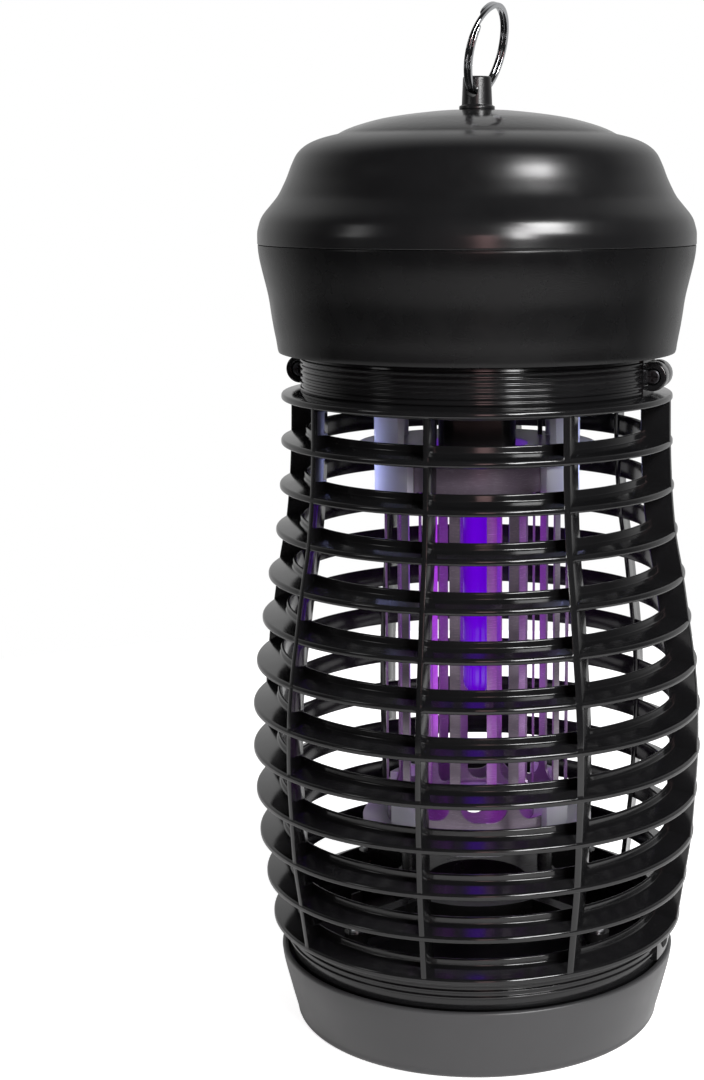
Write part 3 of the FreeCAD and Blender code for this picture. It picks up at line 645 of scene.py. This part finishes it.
def resample(pts, step=0.7, smooth=2):
    """even points along the outline, smoothed a little"""
    d = [0.0]
    for a, b in zip(pts, pts[1:]):
        d.append(d[-1] + math.hypot(b[0] - a[0], b[1] - a[1]))
    n = max(2, int(d[-1] / step))
    out = []
    xs, ys = [p[0] for p in pts], [p[1] for p in pts]
    for k in range(n + 1):
        s = d[-1] * k / n
        out.append((spline(d, xs, s), spline(d, ys, s)))
    for _ in range(smooth):
        q = out[:]
        for k in range(1, n):
            q[k] = ((out[k - 1][0] + 2 * out[k][0] + out[k + 1][0]) / 4,
                    (out[k - 1][1] + 2 * out[k][1] + out[k + 1][1]) / 4)
        out = q
    return out


def offset(pts, t):
    out = []
    n = len(pts)
    for i in range(n):
        a, b = pts[max(i - 1, 0)], pts[min(i + 1, n - 1)]
        dr, dz = b[0] - a[0], b[1] - a[1]
        l = math.hypot(dr, dz)
        out.append((pts[i][0] - t * dz / l, pts[i][1] + t * dr / l))
    return out


def arc(c, r, a0, a1, n):
    return [(c[0] + r * math.cos(math.radians(a0 + (a1 - a0) * k / n)),
             c[1] + r * math.sin(math.radians(a0 + (a1 - a0) * k / n))) for k in range(n + 1)]


def build_skirt():
    o = resample(SKIRT, 0.9, 3)
    i = offset(o, 2.3)
    r0, z0 = o[0]
    # rounded lower lip, small break at the seam
    loop = [(i[0][0] + 0.25, z0 + 0.02), (r0 - 0.5, z0), (r0 - 0.15, z0 + 0.12)] + o[1:-1]
    rt, zt = o[-1]
    loop += [(rt, zt - 0.2), (rt - 0.06, zt - 0.06), (rt - 0.2, zt), (i[-1][0], zt)] + list(reversed(i[1:-1])) + [(i[0][0], z0 + 0.3)]
    skirt = solid_lathe("head_skirt_shell", loop, 256)
    bm = bmesh.new()
    lathe_into(bm, rounded([(6.0, 250.0), (70.6, 250.0), (70.6, 252.2), (6.0, 252.2)], [0.2, 0, 0, 0.2], 2), segs=96)
    floor_ob = bm_object("p", bm)
    ob = boolean(skirt, floor_ob)
    drill = []
    for az in (45, -45, 135, -135):
        a = math.radians(az)
        drill.append((65.9 * math.sin(a), -65.9 * math.cos(a), 1.5))
        a = math.radians(az + DRAW_AZ)
        drill.append((56.6 * math.sin(a), -56.6 * math.cos(a), 1.5))
    for x, y in ((-10.0, 16.5), (10.0, -16.5), (35.5, 0), (-35.5, 0)):
        drill.append((x, y, 1.5))
    for x, y in ((23.48, 23.48), (-15.6, 13.76)):
        drill.append((x, y, 1.6))
    bm = bmesh.new()
    for x, y, r in drill:
        lathe_into(bm, [(0.001, 249.0), (r, 249.0), (r, 253.5), (0.001, 253.5)], segs=20, at=(x, y, 0))
    ob = boolean(ob, bm_object("p", bm), "DIFFERENCE")
    # hole for the gland at the back
    bm = bmesh.new()
    lathe_into(bm, [(0.001, 60.0), (5.4, 60.0), (5.4, 80.0), (0.001, 80.0)], segs=48, axis="Y", at=(0, 0, 263.0))
    ob = boolean(ob, bm_object("p", bm), "DIFFERENCE")
    bm = bmesh.new()
    for x in (-37.0, 37.0):
        for y in (17.0, 47.0):
            lathe_into(bm, rounded([(1.2, 254.0), (1.2, 264.0), (3.2, 264.0), (3.2, 251.0), (1.2, 251.0)],
                                   [0, 0.2, 0.3, 0, 0], 2), segs=24, at=(x, y, 0))
    ob = boolean(ob, bm_object("p", bm))
    ob.name = "head_skirt_shell"
    finish_mesh(ob, "housing", 38.0)
    dress(ob, SKIRT_M)
    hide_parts("head_skirt")
    return ob


build_skirt()


def build_cover():
    o = resample(DOME[:19], 0.7, 2)[:-1] + resample(DOME[18:], 0.7, 2)
    i = [q for q in offset(o, 2.3)]
    i = [(max(r, 3.2), z) for r, z in i]
    loop = [(o[0][0] - 0.2, o[0][1]), (o[0][0] - 0.06, o[0][1] + 0.06), (o[0][0], o[0][1] + 0.2)]
    loop += [q for q in o[1:] if q[1] > o[0][1] + 0.5]
    inner = list(reversed([q for q in i if q[1] > 286.6]))
    loop += inner + [(74.95, 286.4), (72.3, 286.4), (72.3, 280.9), (72.6, 280.6), (73.9, 280.6), (74.2, 280.9),
                     (74.2, 284.1)]
    ob = solid_lathe("head_cover_shell", loop, 256)
    bm = bmesh.new()
    for az in (45, -45, 135, -135):
        a = math.radians(az)
        lathe_into(bm, rounded([(1.45, 252.2), (1.45, 268.0), (0.001, 268.0), (0.001, 299.0), (3.1, 299.0), (3.1, 252.2)],
                               [0.2, 0, 0, 0, 0, 0.3], 2), segs=28, at=(65.9 * math.sin(a), -65.9 * math.cos(a), 0))
    ob = boolean(ob, bm_object("p", bm))
    ob.name = "head_cover_shell"
    finish_mesh(ob, "housing", 34.0)
    dress(ob, COVER)
    ob.data.materials.append(CROWN)
    for p in ob.data.polygons:
        c = p.center / MM
        if math.hypot(c.x, c.y) < 48.9 and p.normal.z > 0.3 and c.z > 321.5:
            p.material_index = 1
    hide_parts("head_cover")
    return ob


build_cover()

# ---------------------------------------------------------------------------
# catch tray
# ---------------------------------------------------------------------------
TRAY = [(67.6, 2.6), (68.2, 4.8), (69.5, 9.6), (70.7, 14.4), (71.9, 19.2), (72.8, 23.4), (73.1, 25.9)]


def build_tray():
    o = resample(TRAY, 0.8, 2)
    bottom = arc((65.3, 2.35), 2.35, -90, -5, 8)
    rim = [(73.05, 26.3), (72.8, 26.6), (72.45, 26.7), (71.5, 26.7), (71.05, 26.5)]
    inner = [(r - 2.2, z) for r, z in reversed(o) if z > 5.0]
    loop = [(0.001, 0.55), (58.0, 0.55), (59.2, 0.0)] + bottom + o + rim + inner + arc((62.6, 4.8), 2.6, -5, -90, 6) + [(0.001, 2.2)]
    ob = solid_lathe("catch_tray_shell", loop, 256)
    bm = bmesh.new()
    for az in (0, 120, 240):
        a = math.radians(az + DRAW_AZ)
        s_, c = math.sin(a), math.cos(a)
        secs = []
        for z, ins in ((8.2, 2.0), (10.5, 0.0), (24.2, 0.0), (24.6, 0.3)):
            hw = 2.8 - ins * 0.3
            Ro = spline([q[1] for q in TRAY], [q[0] for q in TRAY], z) - 0.8
            r0 = 66.4 + ins
            sec = [(-hw, r0 + 0.3), (-hw + 0.3, r0), (hw - 0.3, r0), (hw, r0 + 0.3), (hw, Ro), (-hw, Ro)]
            secs.append([(R * s_ + u * c, -R * c + u * s_, z) for u, R in sec])
        loft_into(bm, secs)
    ob = boolean(ob, bm_object("p", bm))
    ob.name = "catch_tray_shell"
    finish_mesh(ob, "tray", 38.0)
    dress(ob, TRAY_M)
    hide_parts("catch_tray")


build_tray()

# ---------------------------------------------------------------------------
# hanger post and split ring
# ---------------------------------------------------------------------------
EYE_AZ, EYE_Z, EYE_R = -21.0, 336.7, 2.25


def build_post():
    lp = rounded([(0.001, 316.0), (3.0, 316.0), (3.0, 330.3), (6.25, 330.3), (6.25, 331.5), (5.35, 331.9),
                  (4.9, 341.7), (0.001, 341.7)], [0, 0.4, 0, 0.35, 0.4, 0.5, 0.8, 0], 4)
    ob = solid_lathe("hanger_post_body", lp, 96)
    bm = bmesh.new()
    lathe_into(bm, [(0.001, -12.0), (EYE_R, -12.0), (EYE_R, 12.0), (0.001, 12.0)], segs=48, axis="Y")
    cut = bm_object("p", bm)
    cut.data.transform(Matrix.Rotation(math.radians(EYE_AZ), 4, "Z"))
    cut.data.transform(Matrix.Translation((0, 0, EYE_Z * MM)))
    ob = boolean(ob, cut, "DIFFERENCE")
    ob.name = "hanger_post_body"
    finish_mesh(ob, "housing", 38.0)
    dress(ob, POST_M)
    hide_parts("hanger_post")


build_post()


def build_ring():
    R, W, H, lean = 15.1, 1.38, 1.8, math.radians(14.0)
    a = math.radians(EYE_AZ)
    eye = Vector((math.sin(a), -math.cos(a), 0))
    side = Vector((-eye.y, eye.x, 0))
    up = Vector((0, 0, 1)) * math.cos(lean) + side * math.sin(lean)
    nrm = eye.cross(up)
    c = Vector((0, 0, EYE_Z)) + up * (R - 0.45)
    # one wire, a turn and most of another; the change of lane is at the top
    n = 260
    start, total = math.radians(62.0), math.radians(700.0)
    secs = []
    prof = rounded([(-W / 2 + 0.02, -H / 2), (W / 2 - 0.02, -H / 2), (W / 2 - 0.02, H / 2), (-W / 2 + 0.02, H / 2)], 0.36, 4)
    for k in range(n + 1):
        t = k / n
        ang = start + total * t
        u = (ang - start) / total
        # lane: axial offset changes smoothly over 40 degrees near the middle of the wire
        m = (u - 0.5) * total / math.radians(46.0)
        lane = -0.70 + 1.40 * (0.5 + 0.5 * max(-1.0, min(1.0, math.sin(max(-1, min(1, m)) * math.pi / 2))))
        d = eye * math.sin(ang) + up * math.cos(ang)
        end = min(t, 1 - t) * n
        sc = 1.0 if end >= 2 else 0.80 + 0.10 * end
        sec = []
        for w, h in prof:
            p = c + d * (R + h * sc) + nrm * (lane + w * sc)
            sec.append((p.x, p.y, p.z))
        secs.append(sec)
    bm = bmesh.new()
    loft_into(bm, secs)
    ob = new_object("split_ring", bm, "ring", 50.0)
    dress(ob, CHROME)
    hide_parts("hanging_ring")


build_ring()

# ---------------------------------------------------------------------------
# floor, light, surroundings
# ---------------------------------------------------------------------------
bm = bmesh.new()
bmesh.ops.create_circle(bm, cap_ends=True, radius=0.62, segments=128)
fl = bm_object("floor", bm)
fm, nt, b = nodes_of("floor")
co = nt.nodes.new("ShaderNodeTexCoord").outputs["Object"]
fn = noise(nt, 3.0, 2.0, 0.5, co)
fc = mix_colour(nt, fn.outputs["Fac"], (0.90, 0.90, 0.90, 1), (0.93, 0.93, 0.93, 1))
nt.links.new(fc.outputs[2], b.inputs["Base Color"])
b.inputs["Roughness"].default_value = 0.9
b.inputs["Specular IOR Level"].default_value = 0.1
b.inputs["Emission Color"].default_value = (1, 1, 1, 1)
flp = nt.nodes.new("ShaderNodeLightPath")
fe = nt.nodes.new("ShaderNodeMapRange")
fe.inputs["To Min"].default_value = 0.22
fe.inputs["To Max"].default_value = 0.85
nt.links.new(flp.outputs["Is Camera Ray"], fe.inputs["Value"])
nt.links.new(fe.outputs[0], b.inputs["Emission Strength"])
fl.data.materials.append(fm)

# white surroundings; what the gloss and the shade see is bright behind and at the sides, dark in front
world = bpy.data.worlds.new("studio")
scene.world = world
world.use_nodes = True
wn = world.node_tree
wn.nodes.clear()
out = wn.nodes.new("ShaderNodeOutputWorld")
bg = wn.nodes.new("ShaderNodeBackground")
wn.links.new(bg.outputs[0], out.inputs[0])
lp = wn.nodes.new("ShaderNodeLightPath")
tc = wn.nodes.new("ShaderNodeTexCoord")
sep = wn.nodes.new("ShaderNodeSeparateXYZ")
wn.links.new(tc.outputs["Generated"], sep.inputs[0])
back = wn.nodes.new("ShaderNodeMapRange")
back.interpolation_type = "SMOOTHSTEP"
back.inputs["From Min"].default_value = -0.10
back.inputs["From Max"].default_value = 0.75
back.inputs["To Min"].default_value = 0.018
back.inputs["To Max"].default_value = 0.56
wn.links.new(sep.outputs["Y"], back.inputs["Value"])
seen = wn.nodes.new("ShaderNodeMath")
seen.operation = "MAXIMUM"
wn.links.new(lp.outputs["Is Camera Ray"], seen.inputs[0])
thru = wn.nodes.new("ShaderNodeMath")
thru.operation = "MAXIMUM"
wn.links.new(lp.outputs["Is Transmission Ray"], seen.inputs[1])
wn.links.new(seen.outputs[0], thru.inputs[0])
wn.links.new(back.outputs[0], thru.inputs[1])
wn.links.new(thru.outputs[0], bg.inputs["Color"])
bg.inputs["Strength"].default_value = 1.0


def softbox(name, loc, target, sx, sy, power, colour=(1, 1, 1)):
    d = bpy.data.lights.new(name, "AREA")
    d.shape = "RECTANGLE"
    d.size, d.size_y = sx, sy
    d.energy = power
    d.color = colour
    o = bpy.data.objects.new(name, d)
    scene.collection.objects.link(o)
    o.location = loc
    v = Vector(target) - Vector(loc)
    o.rotation_euler = v.to_track_quat("-Z", "Y").to_euler()
    return o


softbox("key", (0.75, -0.95, 1.05), (0, 0, 0.2), 0.46, 0.46, 20.0)
softbox("edge", (0.50, -1.20, 0.66), (0, 0, 0.2), 0.20, 0.60, 9.0)
softbox("fill", (-1.1, -0.55, 0.65), (0, 0, 0.2), 0.25, 0.5, 0.8)
softbox("warm", (0.10, -1.25, 0.42), (0, 0, 0.18), 0.20, 0.5, 1.1, (1.0, 0.60, 0.60))

# violet light that the lamp throws on the grids: strips round the tubes, facing out
for k in range(4):
    az = math.radians(45 + 90 * k)
    d = Vector((math.sin(az), -math.cos(az), 0.0))
    o = softbox("uv_%d" % k, d * 0.0165 + Vector((0, 0, 0.150)), d * 0.05 + Vector((0, 0, 0.150)), 0.008, 0.10, 0.014,
                (0.50, 0.03, 0.78))
    o.visible_camera = False
    o.visible_glossy = False
    o.visible_transmission = False

# violet light scattered between the two grids, falling on the inner one
for k, (az, w) in enumerate(((-66, 0.008), (-24, 0.010), (18, 0.010), (60, 0.008))):
    a = math.radians(az)
    d = Vector((math.sin(a), -math.cos(a), 0.0))
    o = softbox("haze_%d" % k, d * 0.029 + Vector((0, 0, 0.138)), Vector((0, 0, 0.138)), 0.006, 0.12, w,
                (0.55, 0.03, 0.80))
    o.visible_camera = False
    o.visible_glossy = False
    o.visible_transmission = False

# cool light from the open sides on the ends of the insulator
for k in (-1, 1):
    a = math.radians(82 * k)
    d = Vector((math.sin(a), -math.cos(a), 0.0))
    o = softbox("side_%d" % (k + 1), d * 0.051 + Vector((0, 0, 0.206)), Vector((0, 0, 0.206)), 0.010, 0.024, 0.008,
                (0.50, 0.55, 1.0))
    o.visible_camera = False
    o.visible_glossy = False
    o.visible_transmission = False


def drop_slivers(ob):
    """takes out hair-thin loose shells, which a cutter that closes on its own axis leaves in a hole"""
    bm = bmesh.new()
    bm.from_mesh(ob.data)
    seen = set()
    gone = []
    for first in bm.verts:
        if first in seen:
            continue
        seen.add(first)
        stack, shell = [first], [first]
        while stack:
            v = stack.pop()
            for e in v.link_edges:
                w = e.other_vert(v)
                if w not in seen:
                    seen.add(w)
                    stack.append(w)
                    shell.append(w)
        if sum(f.calc_area() for f in {f for v in shell for f in v.link_faces}) < 5e-6:
            gone += shell
    bmesh.ops.delete(bm, geom=gone, context="VERTS")
    bm.to_mesh(ob.data)
    bm.free()


for name in ("head_skirt_shell", "hanger_post_body"):
    drop_slivers(bpy.data.objects[name])
